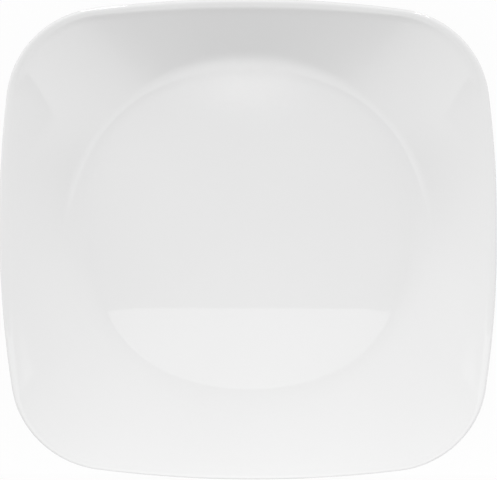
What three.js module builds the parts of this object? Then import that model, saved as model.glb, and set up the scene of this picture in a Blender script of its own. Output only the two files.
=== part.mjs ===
// A square-round cake plate of laminated glass: a white opal core between two clear skins.
// Millimetres, +Z up. The plate lies on z = 0, with its middle on the Z axis and its sides facing X and Y.

import * as THREE from 'three';

// Outline, seen from above
const PLATE_WIDTH = 260;         // from side to side, over the middle of the bowed sides
const SIDE_BOW_RADIUS = 612;     // each side bulges out on an arc of this radius
const CORNER_RADIUS = 52;        // each corner is an arc that runs smoothly into both sides

// Cross-section, with its radii at the middle of the glass
const PLATE_HEIGHT = 22;         // from the table to the top of the lip
const CORE_THICKNESS = 2.2;
const SKIN_THICKNESS = 0.2;
const RIM_WIDTH = 37.5;          // at the middle of a side, from the lip to where rim and floor would meet
const WELL_BEND_RADIUS = 34;     // bend between the flat floor and the straight part of the rim
const RIM_UPTURN_ANGLE = 4;      // degrees by which the rim gets steeper towards its lip
const RIM_UPTURN_RADIUS = 60;
const LIP_ROLL_RADIUS = 7;       // above that the rim rolls over to level

// Number of facets
const SIDE_STEPS = 4;            // along half a side
const CORNER_STEPS = 4;          // along half a corner
const BEND_STEPS = 4;
const UPTURN_STEPS = 2;
const ROLL_STEPS = 4;
const LIP_STEPS = 3;             // from the top of the lip to its outermost line

const glassThickness = CORE_THICKNESS + 2 * SKIN_THICKNESS;
const lipRadius = glassThickness / 2;
const rimRise = PLATE_HEIGHT - glassThickness;
const wellRadius = PLATE_WIDTH / 2 - RIM_WIDTH;
const upturn = THREE.MathUtils.degToRad(RIM_UPTURN_ANGLE);
const quarterTurn = Math.PI / 2;

// The side arcs are centred on the X and Y axes and the corner arcs on the diagonals.
const sideCentre = PLATE_WIDTH / 2 - SIDE_BOW_RADIUS;
const centreDistance = SIDE_BOW_RADIUS - CORNER_RADIUS;
const cornerCentre = (sideCentre + Math.sqrt(2 * centreDistance ** 2 - sideCentre ** 2)) / 2;
const joinDirection = Math.atan2(cornerCentre, cornerCentre - sideCentre);
const joinAngle = Math.atan2(
  SIDE_BOW_RADIUS * Math.sin(joinDirection),
  sideCentre + SIDE_BOW_RADIUS * Math.cos(joinDirection),
);

// Distance from the middle of the plate to its outline, in the direction of a polar angle.
function outlineRadius(angle) {
  const fromSide = Math.abs(angle - quarterTurn * Math.round(angle / quarterTurn));
  if (fromSide <= joinAngle) {
    const along = sideCentre * Math.cos(fromSide);
    return along + Math.sqrt(along ** 2 + SIDE_BOW_RADIUS ** 2 - sideCentre ** 2);
  }
  const along = cornerCentre * (Math.cos(fromSide) + Math.sin(fromSide));
  return along + Math.sqrt(along ** 2 + CORNER_RADIUS ** 2 - 2 * cornerCentre ** 2);
}

// Polar angles of the facets' edges: even steps along each half side and along each half corner.
function facetAngles() {
  const eighth = [];
  for (let step = 0; step < SIDE_STEPS; step += 1) {
    eighth.push((joinAngle * step) / SIDE_STEPS);
  }
  for (let step = 0; step < CORNER_STEPS; step += 1) {
    eighth.push(joinAngle + ((quarterTurn / 2 - joinAngle) * step) / CORNER_STEPS);
  }
  const angles = [];
  for (let quarter = 0; quarter < 4; quarter += 1) {
    const start = quarter * quarterTurn;
    const end = start + quarterTurn;
    angles.push(...eighth.map((angle) => start + angle));
    angles.push(start + quarterTurn / 2);
    angles.push(...eighth.slice(1).reverse().map((angle) => end - angle));
  }
  return angles;
}

// Slope of the straight part of the rim, from the rise and the reach that the arcs above it leave.
function rimSlope(lipMiddle) {
  const reach = lipMiddle - wellRadius;
  const rise = rimRise - LIP_ROLL_RADIUS;
  const arcs = RIM_UPTURN_RADIUS * (1 - Math.cos(upturn)) - LIP_ROLL_RADIUS * Math.cos(upturn);
  return Math.atan2(rise, reach) - Math.asin(arcs / Math.hypot(rise, reach));
}

// Points of an arc from a point and its slope to another slope, without the first point.
function arc(start, radius, endSlope, steps) {
  const signedRadius = endSlope > start.slope ? radius : -radius;
  return Array.from({ length: steps }, (_, step) => {
    const slope = start.slope + ((endSlope - start.slope) * (step + 1)) / steps;
    return {
      radius: start.radius + signedRadius * (Math.sin(slope) - Math.sin(start.slope)),
      height: start.height + signedRadius * (Math.cos(start.slope) - Math.cos(slope)),
      slope,
    };
  });
}

// Middle line of the glass at a polar angle, from the axis to the lip.
// Each point has its radius, its height above the floor and the slope of the line there.
function middleLine(angle) {
  const lipMiddle = outlineRadius(angle) - lipRadius;
  const slope = rimSlope(lipMiddle);
  const steepest = slope + upturn;
  const middle = { radius: 0, height: 0, slope: 0 };
  const floorEnd = { radius: wellRadius - WELL_BEND_RADIUS * Math.tan(slope / 2), height: 0, slope: 0 };
  const bend = arc(floorEnd, WELL_BEND_RADIUS, slope, BEND_STEPS);
  const arcsReach = RIM_UPTURN_RADIUS * (Math.sin(steepest) - Math.sin(slope))
    + LIP_ROLL_RADIUS * Math.sin(steepest);
  const straightReach = lipMiddle - arcsReach - wellRadius;
  const straightEnd = {
    radius: wellRadius + straightReach,
    height: straightReach * Math.tan(slope),
    slope,
  };
  const turnUp = arc(straightEnd, RIM_UPTURN_RADIUS, steepest, UPTURN_STEPS);
  const roll = arc(turnUp.at(-1), LIP_ROLL_RADIUS, 0, ROLL_STEPS);
  return [middle, floorEnd, ...bend, straightEnd, ...turnUp, ...roll];
}

// One face of a glass layer at a polar angle, from the axis to the outermost line of the lip.
// Its offset from the middle of the glass is positive above it and negative below it.
function layerFace(angle, offset) {
  const line = middleLine(angle);
  const points = line.map(({ radius, height, slope }) => new THREE.Vector2(
    radius - offset * Math.sin(slope),
    lipRadius + height + offset * Math.cos(slope),
  ));
  const lip = line.at(-1);
  for (let step = 1; step <= LIP_STEPS; step += 1) {
    const direction = quarterTurn * (1 - step / LIP_STEPS);
    points.push(new THREE.Vector2(
      lip.radius + Math.abs(offset) * Math.cos(direction),
      lipRadius + lip.height + offset * Math.sin(direction),
    ));
  }
  return points;
}

// A glass layer between two faces, swept once round the plate.
// Facets that two layers share are split along the same diagonal in both.
function glassLayer(name, lowerOffset, upperOffset, material) {
  const angles = facetAngles();
  const lowerCount = layerFace(0, lowerOffset).length;
  const upperCount = layerFace(0, upperOffset).length;
  const ringCount = lowerCount + upperCount;
  const positions = [];
  for (const angle of angles) {
    const section = [...layerFace(angle, lowerOffset), ...layerFace(angle, upperOffset).reverse()];
    for (const point of section) {
      positions.push(point.x * Math.cos(angle), point.x * Math.sin(angle), point.y);
    }
  }
  const index = [];
  for (let column = 0; column < angles.length; column += 1) {
    const here = column * ringCount;
    const next = ((column + 1) % angles.length) * ringCount;
    for (let ring = 0; ring < ringCount - 1; ring += 1) {
      const [a, b, c, d] = [here + ring, next + ring, next + ring + 1, here + ring + 1];
      if (ring < lowerCount) {
        index.push(a, b, c, a, c, d);
      } else {
        index.push(a, b, d, b, c, d);
      }
    }
  }
  const geometry = new THREE.BufferGeometry();
  geometry.setAttribute('position', new THREE.Float32BufferAttribute(positions, 3));
  geometry.setIndex(index);
  geometry.computeVertexNormals();
  const mesh = new THREE.Mesh(geometry, material);
  mesh.name = name;
  return mesh;
}

const coreFace = CORE_THICKNESS / 2;
const skinFace = coreFace + SKIN_THICKNESS;

function glass(color, roughness) {
  return new THREE.MeshStandardMaterial({ color, roughness, metalness: 0 });
}

const plate = new THREE.Group();
plate.add(glassLayer('lower_glass_skin', -skinFace, -coreFace, glass(0xf3f3f1, 0.08)));
plate.add(glassLayer('opal_glass_core', -coreFace, coreFace, glass(0xf0efeb, 0.45)));
plate.add(glassLayer('upper_glass_skin', coreFace, skinFace, glass(0xf3f3f1, 0.06)));

export default plate;
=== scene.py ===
from math import cos, pi, radians, sin, tan

import bpy
import numpy as np
from mathutils import Matrix, Vector


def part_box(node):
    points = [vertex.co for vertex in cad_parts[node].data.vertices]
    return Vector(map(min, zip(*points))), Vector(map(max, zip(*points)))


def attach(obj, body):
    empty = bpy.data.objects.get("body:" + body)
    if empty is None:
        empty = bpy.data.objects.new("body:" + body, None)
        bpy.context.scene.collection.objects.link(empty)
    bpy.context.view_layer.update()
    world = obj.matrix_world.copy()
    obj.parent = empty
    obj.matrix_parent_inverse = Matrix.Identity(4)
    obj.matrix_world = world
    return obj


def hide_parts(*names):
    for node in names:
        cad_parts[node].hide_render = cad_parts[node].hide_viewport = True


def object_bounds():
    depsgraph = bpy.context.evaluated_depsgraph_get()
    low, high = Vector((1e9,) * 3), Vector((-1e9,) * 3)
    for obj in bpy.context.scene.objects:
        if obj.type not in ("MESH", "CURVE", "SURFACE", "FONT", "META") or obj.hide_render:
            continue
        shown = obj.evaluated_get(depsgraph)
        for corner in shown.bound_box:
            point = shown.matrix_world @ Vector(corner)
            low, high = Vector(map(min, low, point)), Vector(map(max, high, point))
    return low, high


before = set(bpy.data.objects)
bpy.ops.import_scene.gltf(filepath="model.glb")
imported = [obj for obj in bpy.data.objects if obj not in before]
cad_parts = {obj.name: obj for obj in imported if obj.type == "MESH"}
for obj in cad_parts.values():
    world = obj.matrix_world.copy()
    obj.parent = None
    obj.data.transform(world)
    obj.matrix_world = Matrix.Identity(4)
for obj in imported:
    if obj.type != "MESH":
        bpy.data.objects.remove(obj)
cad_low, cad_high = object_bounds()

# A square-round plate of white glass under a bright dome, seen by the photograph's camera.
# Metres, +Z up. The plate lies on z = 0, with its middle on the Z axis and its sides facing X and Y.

# Sizes of the plate that the frame gives
lower_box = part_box("lower_glass_skin")
core_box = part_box("opal_glass_core")
upper_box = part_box("upper_glass_skin")
PLATE_WIDTH = cad_high.x - cad_low.x
PLATE_HEIGHT = cad_high.z - cad_low.z
SKIN_THICKNESS = core_box[0].z - lower_box[0].z
CORE_THICKNESS = upper_box[0].z - core_box[0].z

# The plate's other sizes, with the radii of its section at the middle of the glass
SIDE_BOW_RADIUS = 0.612
CORNER_RADIUS = 0.052
RIM_WIDTH = 0.0375               # at a side's middle, from the lip to where rim and floor would meet
WELL_BEND_RADIUS = 0.034
RIM_UPTURN_ANGLE = radians(4)    # by which the rim gets steeper towards its lip
RIM_UPTURN_RADIUS = 0.060
LIP_ROLL_RADIUS = 0.007          # above that the rim rolls over to level

# Fineness of the meshes
SIDE_STEPS = 20                  # along half a side
CORNER_STEPS = 20                # along half a corner
FLOOR_STEPS = 6
BEND_STEPS = 18
STRAIGHT_STEPS = 6
UPTURN_STEPS = 12
ROLL_STEPS = 10
LIP_STEPS = 12                   # from the top of the lip to its outermost line

# White glass, whose colour varies between a pale and a deep one
SKIN_PALE = (0.869, 0.869, 0.869, 1.0)
SKIN_DEEP = (0.855, 0.855, 0.855, 1.0)
SKIN_ROUGHNESS = 0.02
BASE_PALE = (0.869, 0.869, 0.869, 1.0)
BASE_DEEP = (0.85, 0.85, 0.85, 1.0)
BASE_ROUGHNESS = 0.06
CORE_PALE = (0.87, 0.865, 0.85, 1.0)
CORE_DEEP = (0.85, 0.845, 0.83, 1.0)
CORE_ROUGHNESS = 0.45
GLASS_IOR = 1.52
CLOUDING_SCALE = 11.0
CLOUDING_DETAIL = 3.0
CLOUDING_RANGE = (0.3, 0.7)      # the noise at which the glass is deep, and at which it is pale
GLOSS_SCALE = 38.0
GLOSS_DETAIL = 6.0
GLOSS_RANGE = (0.8, 1.3)         # share of the roughness where the gloss is best, and where it is worst
WAVE_SCALE = 24.0
WAVE_DETAIL = 1.0
WAVE_DEPTH = 0.000004

# Marks of use on the glass
SCRATCH_SPACING = 0.013
SCRATCH_WIDTH = 0.00008
SCRATCH_DEPTH = 0.0000008
SCRATCH_ROUGHNESS = 0.15
SCRATCH_BREAK_DETAIL = 2.0
SCRATCH_BREAK_RANGE = (0.52, 0.6)      # the noise at which a scratch ends, and at which it is whole
WELL_WEAR_HEIGHTS = (0.0027, 0.006)    # worn below the first height and clean above the second
BASE_WEAR_HEIGHTS = (0.0001, 0.0008)
BASE_RUB_ROUGHNESS = 0.14              # added where the base rubs on the table

# Floor
FLOOR_SIZE = 12.0
FLOOR_PAPER = (0.75, 0.75, 0.75, 1.0)
FLOOR_WHITE_SHARE = 0.96         # of an even white, where the floor is seen
WHITE = (1.0, 1.0, 1.0, 1.0)

# The photograph's width and the camera that it was taken with, worked out from the plate's outline
IMAGE_WIDTH = 497                # pixels
CAMERA_AZIMUTH = radians(4.72)   # off the +Y axis, towards +X
CAMERA_ELEVATION = radians(74.71)
CAMERA_ROLL = radians(-0.19)
CAMERA_DISTANCE = 2.485
CAMERA_AIM = Vector((0.00023, 0.00133, 0.0))    # off the middle of the plate, at the height of its lip
PIXELS_PER_METRE = 1915.8        # at the aim
SENSOR_WIDTH = 36.0              # millimetres

# Directions that the panels face
DOWN = Vector((0, 0, -1))
TOWARDS_PLATE = Vector((0, 1, 0))

# Dome of light, dark on the side away from the camera
DOME_LEVEL = 1.365               # radiance of its lit part, before it falls
DOME_FALL = Vector((0.06, 0.14, 0.38))    # by how much it falls towards +X, +Y and straight up
DOME_DARK_END = -0.92            # dark up to this y of the direction
DOME_LIT_START = -0.18           # fully lit from this y on

# Upright white card on the plate's -Y side, which only lights the glass
CARD_DISTANCE = 0.134
CARD_MIDDLE = 0.03
CARD_WIDTH = 0.5
CARD_HEIGHT = 0.332
CARD_RADIANCE = 0.17
CARD_FOOT_SHARE = 3.5            # share of that radiance at its lower edge
CARD_FOOT_HEIGHT = 0.15          # share of its height over which that changes to the full radiance
CARD_SOFT_SIDE = 0.3             # share of its width over which it darkens, at either side

# Two small lamps outside the lip, each of which puts a streak of gloss on it
LAMP_DISTANCE = 0.08             # from the streak
LAMP_TILT = radians(84)          # off straight up, seen from the streak
LAMP_HEIGHT = 0.02
LAMP_RADIANCE = 32.0
LAMP_SPREAD = radians(36)
LEFT_STREAK = Vector((-0.077, 0.125, 0.021))
LEFT_LAMP_AZIMUTH = radians(-13)    # off the +Y axis, towards +X, seen from the streak
LEFT_LAMP_WIDTH = 0.038
RIGHT_STREAK = Vector((0.091, 0.120, 0.021))
RIGHT_LAMP_AZIMUTH = radians(23)
RIGHT_LAMP_WIDTH = 0.02

# Level panel that shows only in the gloss, as a half-moon in the well
HALF_MOON_HEIGHT = 0.4
HALF_MOON_EDGE = -0.1555         # y of the edge that ends the reflection in the well
HALF_MOON_MIDDLE = 0.0
HALF_MOON_WIDTH = 0.7
HALF_MOON_DEPTH = 0.4
HALF_MOON_RADIANCE = 1.0
HALF_MOON_SOFT_SIDE = 0.4        # share of its width over which it darkens, at either side
HALF_MOON_SOFT_END = 0.8         # share of its depth over which it darkens, towards its far end

# Small lamp over the +Y end of the well, which puts a pool of light there
POOL_PLACE = Vector((-0.002, 0.081, 1.0))
POOL_WIDTH = 0.05
POOL_DEPTH = 0.012
POOL_RADIANCE = 640.0
POOL_SPREAD = radians(2.6)

glass_thickness = CORE_THICKNESS + 2 * SKIN_THICKNESS
lip_radius = glass_thickness / 2
lip_height = PLATE_HEIGHT - lip_radius
rim_rise = PLATE_HEIGHT - glass_thickness
well_radius = PLATE_WIDTH / 2 - RIM_WIDTH
core_face = CORE_THICKNESS / 2
skin_face = core_face + SKIN_THICKNESS

# The side arcs are centred on the X and Y axes and the corner arcs on the diagonals
side_centre = PLATE_WIDTH / 2 - SIDE_BOW_RADIUS
centre_distance = SIDE_BOW_RADIUS - CORNER_RADIUS
corner_centre = (side_centre + np.sqrt(2 * centre_distance**2 - side_centre**2)) / 2
join_direction = np.arctan2(corner_centre, corner_centre - side_centre)
join_angle = np.arctan2(
    SIDE_BOW_RADIUS * sin(join_direction),
    side_centre + SIDE_BOW_RADIUS * cos(join_direction),
)


def outline_radius(angle):
    """Distance from the middle of the plate to its outline, for an array of polar angles."""
    quarter = pi / 2
    from_side = np.abs(angle - quarter * np.round(angle / quarter))
    along = side_centre * np.cos(from_side)
    on_side = along + np.sqrt(along**2 + SIDE_BOW_RADIUS**2 - side_centre**2)
    across = corner_centre * (np.cos(from_side) + np.sin(from_side))
    in_corner = np.sqrt(np.maximum(across**2 + CORNER_RADIUS**2 - 2 * corner_centre**2, 0.0))
    return np.where(from_side <= join_angle, on_side, across + in_corner)


def mesh_angles():
    """Polar angles of the mesh's radial edges: even steps along each half side and each half corner."""
    side = np.linspace(0, join_angle, SIDE_STEPS, endpoint=False)
    corner = np.linspace(join_angle, pi / 4, CORNER_STEPS, endpoint=False)
    eighth = np.concatenate([side, corner])
    quarter = np.concatenate([eighth, [pi / 4], pi / 2 - eighth[:0:-1]])
    return np.concatenate([quarter + turn * pi / 2 for turn in range(4)])


ANGLES = mesh_angles()[:, None]


def rim_slope(lip_middle):
    """Slope of the rim's straight part, from the rise and the reach that the arcs above it leave."""
    reach = lip_middle - well_radius
    rise = rim_rise - LIP_ROLL_RADIUS
    arcs = RIM_UPTURN_RADIUS * (1 - cos(RIM_UPTURN_ANGLE)) - LIP_ROLL_RADIUS * cos(RIM_UPTURN_ANGLE)
    return np.arctan2(rise, reach) - np.arcsin(arcs / np.hypot(rise, reach))


def straight_line(start, end, steps):
    """Points from one end of a line to the other, without the first."""
    share = np.arange(1, steps + 1) / steps
    return tuple(first + (last - first) * share for first, last in zip(start, end))


def arc_line(start, radius, end_slope, steps):
    """Points of an arc from the end of a line and its slope to another slope, without the first."""
    start_radius, start_height, start_slope = (part[:, -1:] for part in start)
    signed_radius = np.where(end_slope > start_slope, radius, -radius)
    slope = start_slope + (end_slope - start_slope) * np.arange(1, steps + 1) / steps
    return (
        start_radius + signed_radius * (np.sin(slope) - np.sin(start_slope)),
        start_height + signed_radius * (np.cos(start_slope) - np.cos(slope)),
        slope,
    )


def middle_line():
    """Radius, height above the floor and slope along the middle of the glass, from axis to lip."""
    lip_middle = outline_radius(ANGLES) - lip_radius
    slope = rim_slope(lip_middle)
    steepest = slope + RIM_UPTURN_ANGLE
    level = 0 * ANGLES
    axis = (level, level, level)
    floor_end = (well_radius - WELL_BEND_RADIUS * np.tan(slope / 2), level, level)
    floor = straight_line(axis, floor_end, FLOOR_STEPS)
    bend = arc_line(floor, WELL_BEND_RADIUS, slope, BEND_STEPS)
    upturn_reach = RIM_UPTURN_RADIUS * (np.sin(steepest) - np.sin(slope))
    roll_reach = LIP_ROLL_RADIUS * np.sin(steepest)
    straight_reach = lip_middle - (upturn_reach + roll_reach) - well_radius
    straight_end = (well_radius + straight_reach, straight_reach * np.tan(slope), slope)
    straight = straight_line([part[:, -1:] for part in bend], straight_end, STRAIGHT_STEPS)
    upturn = arc_line(straight, RIM_UPTURN_RADIUS, steepest, UPTURN_STEPS)
    roll = arc_line(upturn, LIP_ROLL_RADIUS, level, ROLL_STEPS)
    lines = (axis, floor, bend, straight, upturn, roll)
    return tuple(np.concatenate(parts, axis=1) for parts in zip(*lines))


LINE_RADIUS, LINE_HEIGHT, LINE_SLOPE = middle_line()


def layer_face(offset):
    """Radius and height of one face of a glass layer, from the axis to the outermost line of the lip.

    The offset from the middle of the glass is positive above it and negative below it.
    """
    radius = LINE_RADIUS - offset * np.sin(LINE_SLOPE)
    height = lip_radius + LINE_HEIGHT + offset * np.cos(LINE_SLOPE)
    direction = pi / 2 * (1 - np.arange(1, LIP_STEPS + 1) / LIP_STEPS)
    round_radius = LINE_RADIUS[:, -1:] + abs(offset) * np.cos(direction)
    round_height = lip_height + offset * np.sin(direction) + 0 * ANGLES
    return np.concatenate([radius, round_radius], axis=1), np.concatenate([height, round_height], axis=1)


def mark_end_face(mesh, rings, first_ring):
    """Sharpens the two edge loops on either side of the narrow face that a skin ends in at the lip."""
    for edge in mesh.edges:
        ring_a, ring_b = (vertex % rings for vertex in edge.vertices)
        edge.use_edge_sharp = ring_a == ring_b and ring_a in (first_ring, first_ring + 1)


def glass_layer(name, lower_offset, upper_offset):
    """A closed mesh of the glass between two faces, smooth apart from the end of a skin."""
    lower_radius, lower_height = layer_face(lower_offset)
    upper_radius, upper_height = layer_face(upper_offset)
    # The two faces of the core share their outermost ring, and those of a skin don't.
    is_skin = abs(lower_offset) != abs(upper_offset)
    first_back = -1 if is_skin else -2
    radius = np.concatenate([lower_radius, upper_radius[:, first_back::-1]], axis=1)
    height = np.concatenate([lower_height, upper_height[:, first_back::-1]], axis=1)
    # The first and the last ring are single points on the axis.
    columns = radius.shape[0]
    rings = radius.shape[1] - 2
    x = radius[:, 1:-1] * np.cos(ANGLES)
    y = radius[:, 1:-1] * np.sin(ANGLES)
    points = np.stack([x, y, height[:, 1:-1]], axis=-1)
    vertices = np.concatenate([points.reshape(-1, 3), [[0, 0, height[0, 0]], [0, 0, height[0, -1]]]])
    bottom = columns * rings
    top = bottom + 1
    last = rings - 1
    faces = []
    for column in range(columns):
        here = column * rings
        after = (column + 1) % columns * rings
        faces.append((bottom, after, here))
        for ring in range(last):
            faces.append((here + ring, after + ring, after + ring + 1, here + ring + 1))
        faces.append((here + last, after + last, top))
    mesh = bpy.data.meshes.new(name)
    mesh.from_pydata(vertices.tolist(), [], faces)
    mesh.polygons.foreach_set("use_smooth", [True] * len(mesh.polygons))
    if is_skin:
        mark_end_face(mesh, rings, lower_radius.shape[1] - 2)
    mesh.update()
    piece = bpy.data.objects.new(name, mesh)
    bpy.context.scene.collection.objects.link(piece)
    return piece


# Materials
def new_material(name):
    """An empty node material with its output."""
    material = bpy.data.materials.new(name)
    material.use_nodes = True
    material.node_tree.nodes.clear()
    output = material.node_tree.nodes.new("ShaderNodeOutputMaterial")
    return material, material.node_tree, output


def add_node(tree, kind, **settings):
    """A new node, with its own settings and its inputs' values given by name."""
    node = tree.nodes.new(kind)
    for name, value in settings.items():
        if hasattr(node, name):
            setattr(node, name, value)
        else:
            node.inputs[name.title()].default_value = value
    return node


def map_range(tree, value, source, target, interpolation="LINEAR"):
    """A number that runs through the target while the value runs through the source."""
    node = add_node(tree, "ShaderNodeMapRange", interpolation_type=interpolation)
    node.inputs["From Min"].default_value = source[0]
    node.inputs["From Max"].default_value = source[1]
    node.inputs["To Min"].default_value = target[0]
    node.inputs["To Max"].default_value = target[1]
    tree.links.new(value, node.inputs["Value"])
    return node.outputs["Result"]


def combine(tree, operation, *values):
    """The result of a calculation with numbers, each either a fixed one or a socket."""
    node = add_node(tree, "ShaderNodeMath", operation=operation)
    for socket, value in zip(node.inputs, values):
        if isinstance(value, float):
            socket.default_value = value
        else:
            tree.links.new(value, socket)
    return node.outputs["Value"]


def texture(tree, place, kind, **settings):
    """A texture node in the piece's own coordinates."""
    node = add_node(tree, kind, **settings)
    tree.links.new(place.outputs["Object"], node.inputs["Vector"])
    return node


def wear(tree, place, heights):
    """How worn the glass is at its height, and the fine broken scratches that it has there."""
    axes = add_node(tree, "ShaderNodeSeparateXYZ")
    tree.links.new(place.outputs["Object"], axes.inputs["Vector"])
    worn = map_range(tree, axes.outputs["Z"], heights, (1.0, 0.0))
    scale = 1 / SCRATCH_SPACING
    cells = texture(tree, place, "ShaderNodeTexVoronoi", feature="DISTANCE_TO_EDGE", scale=scale)
    lines = map_range(tree, cells.outputs["Distance"], (0.0, SCRATCH_WIDTH * scale), (1.0, 0.0))
    patches = texture(tree, place, "ShaderNodeTexNoise", scale=scale, detail=SCRATCH_BREAK_DETAIL)
    breaks = map_range(tree, patches.outputs["Fac"], SCRATCH_BREAK_RANGE, (0.0, 1.0))
    broken_lines = combine(tree, "MULTIPLY", lines, breaks)
    scratches = combine(tree, "MULTIPLY", broken_lines, worn)
    return worn, scratches


def white_glass(name, pale, deep, roughness, wear_heights, rub_roughness=0.0):
    """Polished white glass with faint clouding, uneven gloss, a slow waviness and marks of use."""
    material, tree, output = new_material(name)
    link = tree.links.new
    place = add_node(tree, "ShaderNodeTexCoord")
    noise = "ShaderNodeTexNoise"
    clouding = texture(tree, place, noise, scale=CLOUDING_SCALE, detail=CLOUDING_DETAIL)
    tint = add_node(tree, "ShaderNodeValToRGB")
    for stop, position, color in zip(tint.color_ramp.elements, CLOUDING_RANGE, (deep, pale)):
        stop.position = position
        stop.color = color
    worn, scratches = wear(tree, place, wear_heights)
    handling = texture(tree, place, noise, scale=GLOSS_SCALE, detail=GLOSS_DETAIL)
    gloss_ends = [roughness * share for share in GLOSS_RANGE]
    gloss = map_range(tree, handling.outputs["Fac"], (0.0, 1.0), gloss_ends)
    gloss = combine(tree, "MULTIPLY_ADD", worn, rub_roughness, gloss)
    gloss = combine(tree, "MULTIPLY_ADD", scratches, SCRATCH_ROUGHNESS, gloss)
    waves = texture(tree, place, noise, scale=WAVE_SCALE, detail=WAVE_DETAIL)
    relief = combine(tree, "MULTIPLY_ADD", scratches, -SCRATCH_DEPTH / WAVE_DEPTH, waves.outputs["Fac"])
    bump = add_node(tree, "ShaderNodeBump", strength=1.0, distance=WAVE_DEPTH)
    shader = add_node(tree, "ShaderNodeBsdfPrincipled")
    shader.inputs["IOR"].default_value = GLASS_IOR
    link(clouding.outputs["Fac"], tint.inputs["Fac"])
    link(tint.outputs["Color"], shader.inputs["Base Color"])
    link(gloss, shader.inputs["Roughness"])
    link(relief, bump.inputs["Height"])
    link(bump.outputs["Normal"], shader.inputs["Normal"])
    link(shader.outputs["BSDF"], output.inputs["Surface"])
    return material


def floor_material():
    """A white floor that keeps a trace of the plate's shadow: paper, mostly an even white where seen."""
    material, tree, output = new_material("white_floor")
    link = tree.links.new
    paper = add_node(tree, "ShaderNodeBsdfDiffuse")
    paper.inputs["Color"].default_value = FLOOR_PAPER
    glow = add_node(tree, "ShaderNodeEmission")
    glow.inputs["Color"].default_value = WHITE
    path = add_node(tree, "ShaderNodeLightPath")
    seen = combine(tree, "ADD", path.outputs["Is Camera Ray"], path.outputs["Is Glossy Ray"])
    mix = add_node(tree, "ShaderNodeMixShader")
    link(combine(tree, "MULTIPLY", seen, FLOOR_WHITE_SHARE), mix.inputs["Fac"])
    link(paper.outputs["BSDF"], mix.inputs[1])
    link(glow.outputs["Emission"], mix.inputs[2])
    link(mix.outputs["Shader"], output.inputs["Surface"])
    return material


# The plate
def dress(piece, node, material):
    """Puts a piece in the place of its solid."""
    piece.data.materials.append(material)
    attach(piece, "root")
    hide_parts(node)


skin_glass = white_glass(
    "clear_over_white_glass", SKIN_PALE, SKIN_DEEP, SKIN_ROUGHNESS, WELL_WEAR_HEIGHTS
)
base_glass = white_glass(
    "rubbed_clear_over_white_glass",
    BASE_PALE, BASE_DEEP, BASE_ROUGHNESS, BASE_WEAR_HEIGHTS, BASE_RUB_ROUGHNESS,
)
core_glass = white_glass(
    "white_opal_glass", CORE_PALE, CORE_DEEP, CORE_ROUGHNESS, BASE_WEAR_HEIGHTS
)
dress(glass_layer("upper_skin", core_face, skin_face), "upper_glass_skin", skin_glass)
dress(glass_layer("opal_core", -core_face, core_face), "opal_glass_core", core_glass)
dress(glass_layer("lower_skin", -skin_face, -core_face), "lower_glass_skin", base_glass)

# The floor
floor_half = FLOOR_SIZE / 2
floor_corners = [
    (-floor_half, -floor_half, 0),
    (floor_half, -floor_half, 0),
    (floor_half, floor_half, 0),
    (-floor_half, floor_half, 0),
]
floor_mesh = bpy.data.meshes.new("floor")
floor_mesh.from_pydata(floor_corners, [], [(0, 1, 2, 3)])
floor_mesh.materials.append(floor_material())
floor = bpy.data.objects.new("floor", floor_mesh)
bpy.context.scene.collection.objects.link(floor)


# The lights
def panel_light(name, place, facing, width, height, radiance, spread=pi):
    """A rectangular light of a given radiance straight ahead, which the camera doesn't see."""
    lamp = bpy.data.lights.new(name, "AREA")
    lamp.shape = "RECTANGLE"
    lamp.size = width
    lamp.size_y = height
    lamp.spread = spread
    # A narrower spread makes the same power brighter straight ahead.
    narrowing = 1 - spread / 2 / tan(spread / 2)
    lamp.energy = radiance * pi * width * height * narrowing
    light = bpy.data.objects.new(name, lamp)
    light.location = place
    light.rotation_euler = facing.to_track_quat("-Z", "Y").to_euler()
    light.visible_camera = False
    bpy.context.scene.collection.objects.link(light)
    return light


def fade_panel(light, side_reach, foot_reach, foot_share=0.0):
    """Fades a panel's light towards both sides, and changes it to a share of itself at its foot.

    The reaches are shares of the panel's width and of its height.
    """
    light.data.use_nodes = True
    tree = light.data.node_tree
    place = add_node(tree, "ShaderNodeNewGeometry")
    axes = add_node(tree, "ShaderNodeSeparateXYZ")
    tree.links.new(place.outputs["Parametric"], axes.inputs["Vector"])
    # The place across the panel is folded over at its middle.
    from_side = combine(tree, "PINGPONG", axes.outputs["X"], 0.5)
    across = map_range(tree, from_side, (0.0, side_reach), (0.0, 1.0), "SMOOTHSTEP")
    upwards = map_range(tree, axes.outputs["Y"], (0.0, foot_reach), (foot_share, 1.0), "SMOOTHSTEP")
    strength = combine(tree, "MULTIPLY", across, upwards)
    tree.links.new(strength, tree.nodes["Emission"].inputs["Strength"])


def lip_lamp(name, streak, azimuth, width):
    """A lamp outside the lip that faces the streak it makes and shows only in the gloss."""
    level = LAMP_DISTANCE * sin(LAMP_TILT)
    rise = LAMP_DISTANCE * cos(LAMP_TILT)
    away = Vector((level * sin(azimuth), level * cos(azimuth), rise))
    light = panel_light(name, streak + away, -away, width, LAMP_HEIGHT, LAMP_RADIANCE, LAMP_SPREAD)
    light.visible_diffuse = False


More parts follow.
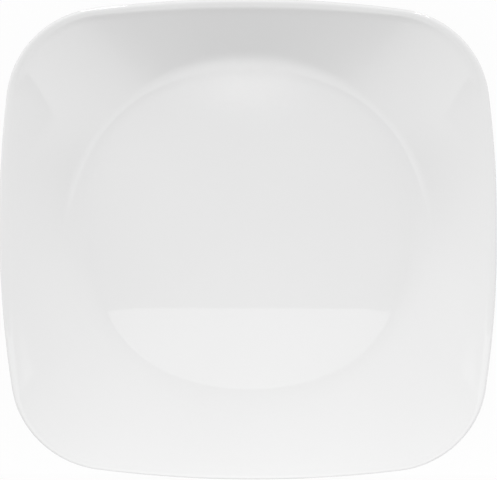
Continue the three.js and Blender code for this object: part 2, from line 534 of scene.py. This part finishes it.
def light_dome():
    """A white world: darker overhead, a little darker towards +X and +Y, and dark on its -Y side."""
    world = bpy.data.worlds.new("light_dome")
    world.use_nodes = True
    tree = world.node_tree
    tree.nodes.clear()
    link = tree.links.new
    place = add_node(tree, "ShaderNodeTexCoord")
    axes = add_node(tree, "ShaderNodeSeparateXYZ")
    fall = add_node(tree, "ShaderNodeVectorMath", operation="DOT_PRODUCT")
    fall.inputs[1].default_value = DOME_FALL
    background = add_node(tree, "ShaderNodeBackground")
    background.inputs["Color"].default_value = WHITE
    output = add_node(tree, "ShaderNodeOutputWorld")
    link(place.outputs["Generated"], axes.inputs["Vector"])
    link(place.outputs["Generated"], fall.inputs[0])
    lit = map_range(tree, axes.outputs["Y"], (DOME_DARK_END, DOME_LIT_START), (0.0, 1.0))
    level = combine(tree, "SUBTRACT", DOME_LEVEL, fall.outputs["Value"])
    link(combine(tree, "MULTIPLY", lit, level), background.inputs["Strength"])
    link(background.outputs["Background"], output.inputs["Surface"])
    return world


card_place = Vector((CARD_MIDDLE, -CARD_DISTANCE, CARD_HEIGHT / 2))
card = panel_light("card", card_place, TOWARDS_PLATE, CARD_WIDTH, CARD_HEIGHT, CARD_RADIANCE)
fade_panel(card, CARD_SOFT_SIDE, CARD_FOOT_HEIGHT, CARD_FOOT_SHARE)
card.visible_glossy = False
half_moon_place = Vector((HALF_MOON_MIDDLE, HALF_MOON_EDGE - HALF_MOON_DEPTH / 2, HALF_MOON_HEIGHT))
half_moon = panel_light(
    "half_moon_light", half_moon_place, DOWN, HALF_MOON_WIDTH, HALF_MOON_DEPTH, HALF_MOON_RADIANCE
)
fade_panel(half_moon, HALF_MOON_SOFT_SIDE, HALF_MOON_SOFT_END)
half_moon.visible_diffuse = False
lip_lamp("left_lamp", LEFT_STREAK, LEFT_LAMP_AZIMUTH, LEFT_LAMP_WIDTH)
lip_lamp("right_lamp", RIGHT_STREAK, RIGHT_LAMP_AZIMUTH, RIGHT_LAMP_WIDTH)
pool = panel_light("pool_lamp", POOL_PLACE, DOWN, POOL_WIDTH, POOL_DEPTH, POOL_RADIANCE, POOL_SPREAD)
pool.visible_glossy = False
bpy.context.scene.world = light_dome()


# The camera
def photo_camera():
    """The photograph's camera: nearly overhead, on the plate's +Y side, with +Y up in the picture."""
    back = Vector((
        sin(CAMERA_AZIMUTH) * cos(CAMERA_ELEVATION),
        cos(CAMERA_AZIMUTH) * cos(CAMERA_ELEVATION),
        sin(CAMERA_ELEVATION),
    ))
    level_right = Vector((0, 1, 0)).cross(back).normalized()
    level_up = back.cross(level_right)
    right = level_right * cos(CAMERA_ROLL) + level_up * sin(CAMERA_ROLL)
    up = level_up * cos(CAMERA_ROLL) - level_right * sin(CAMERA_ROLL)
    data = bpy.data.cameras.new("camera")
    data.sensor_width = SENSOR_WIDTH
    data.lens = SENSOR_WIDTH * PIXELS_PER_METRE * CAMERA_DISTANCE / IMAGE_WIDTH
    camera = bpy.data.objects.new("camera", data)
    place = CAMERA_AIM + Vector((0, 0, lip_height)) + back * CAMERA_DISTANCE
    turn = Matrix((right, up, back)).transposed().to_4x4()
    camera.matrix_world = Matrix.Translation(place) @ turn
    bpy.context.scene.collection.objects.link(camera)
    return camera


bpy.context.scene.camera = photo_camera()
bpy.context.scene.view_settings.view_transform = "Standard"
